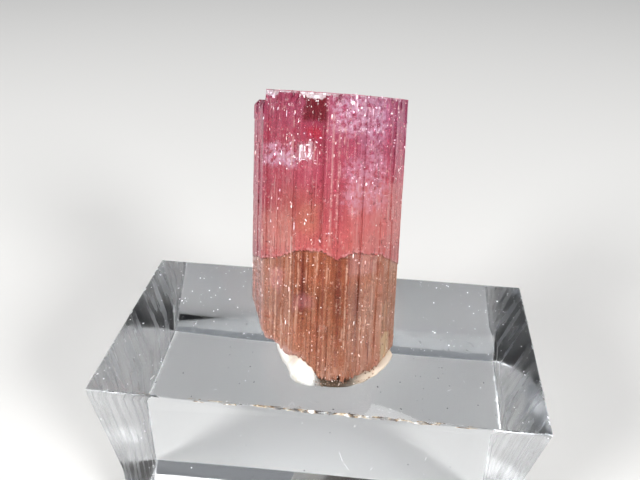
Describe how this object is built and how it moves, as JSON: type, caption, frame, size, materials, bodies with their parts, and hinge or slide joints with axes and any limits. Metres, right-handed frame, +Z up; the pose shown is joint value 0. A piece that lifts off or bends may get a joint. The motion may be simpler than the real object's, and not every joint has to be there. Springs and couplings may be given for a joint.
{
  "type": "tourmaline crystal on display block",
  "caption": "Pink and brown tourmaline prism, leaning back in a dab of white putty on a clear acrylic display block.",
  "frame": {"origin": "centre of the display block's flat underside", "axes": "+Z up, +X to the right along the block's long side, -Y towards the front, from which the crystal leans back"},
  "size_m": [0.0382, 0.0229, 0.0416],
  "materials": {
    "tourmaline": "translucent, pink above and brown below",
    "putty": "matte off-white",
    "acrylic": "clear and polished"
  },
  "bodies": {
    "root": {"tourmaline_crystal": "tourmaline", "mounting_putty": "putty", "display_block": "acrylic"}
  },
  "joints": []
}
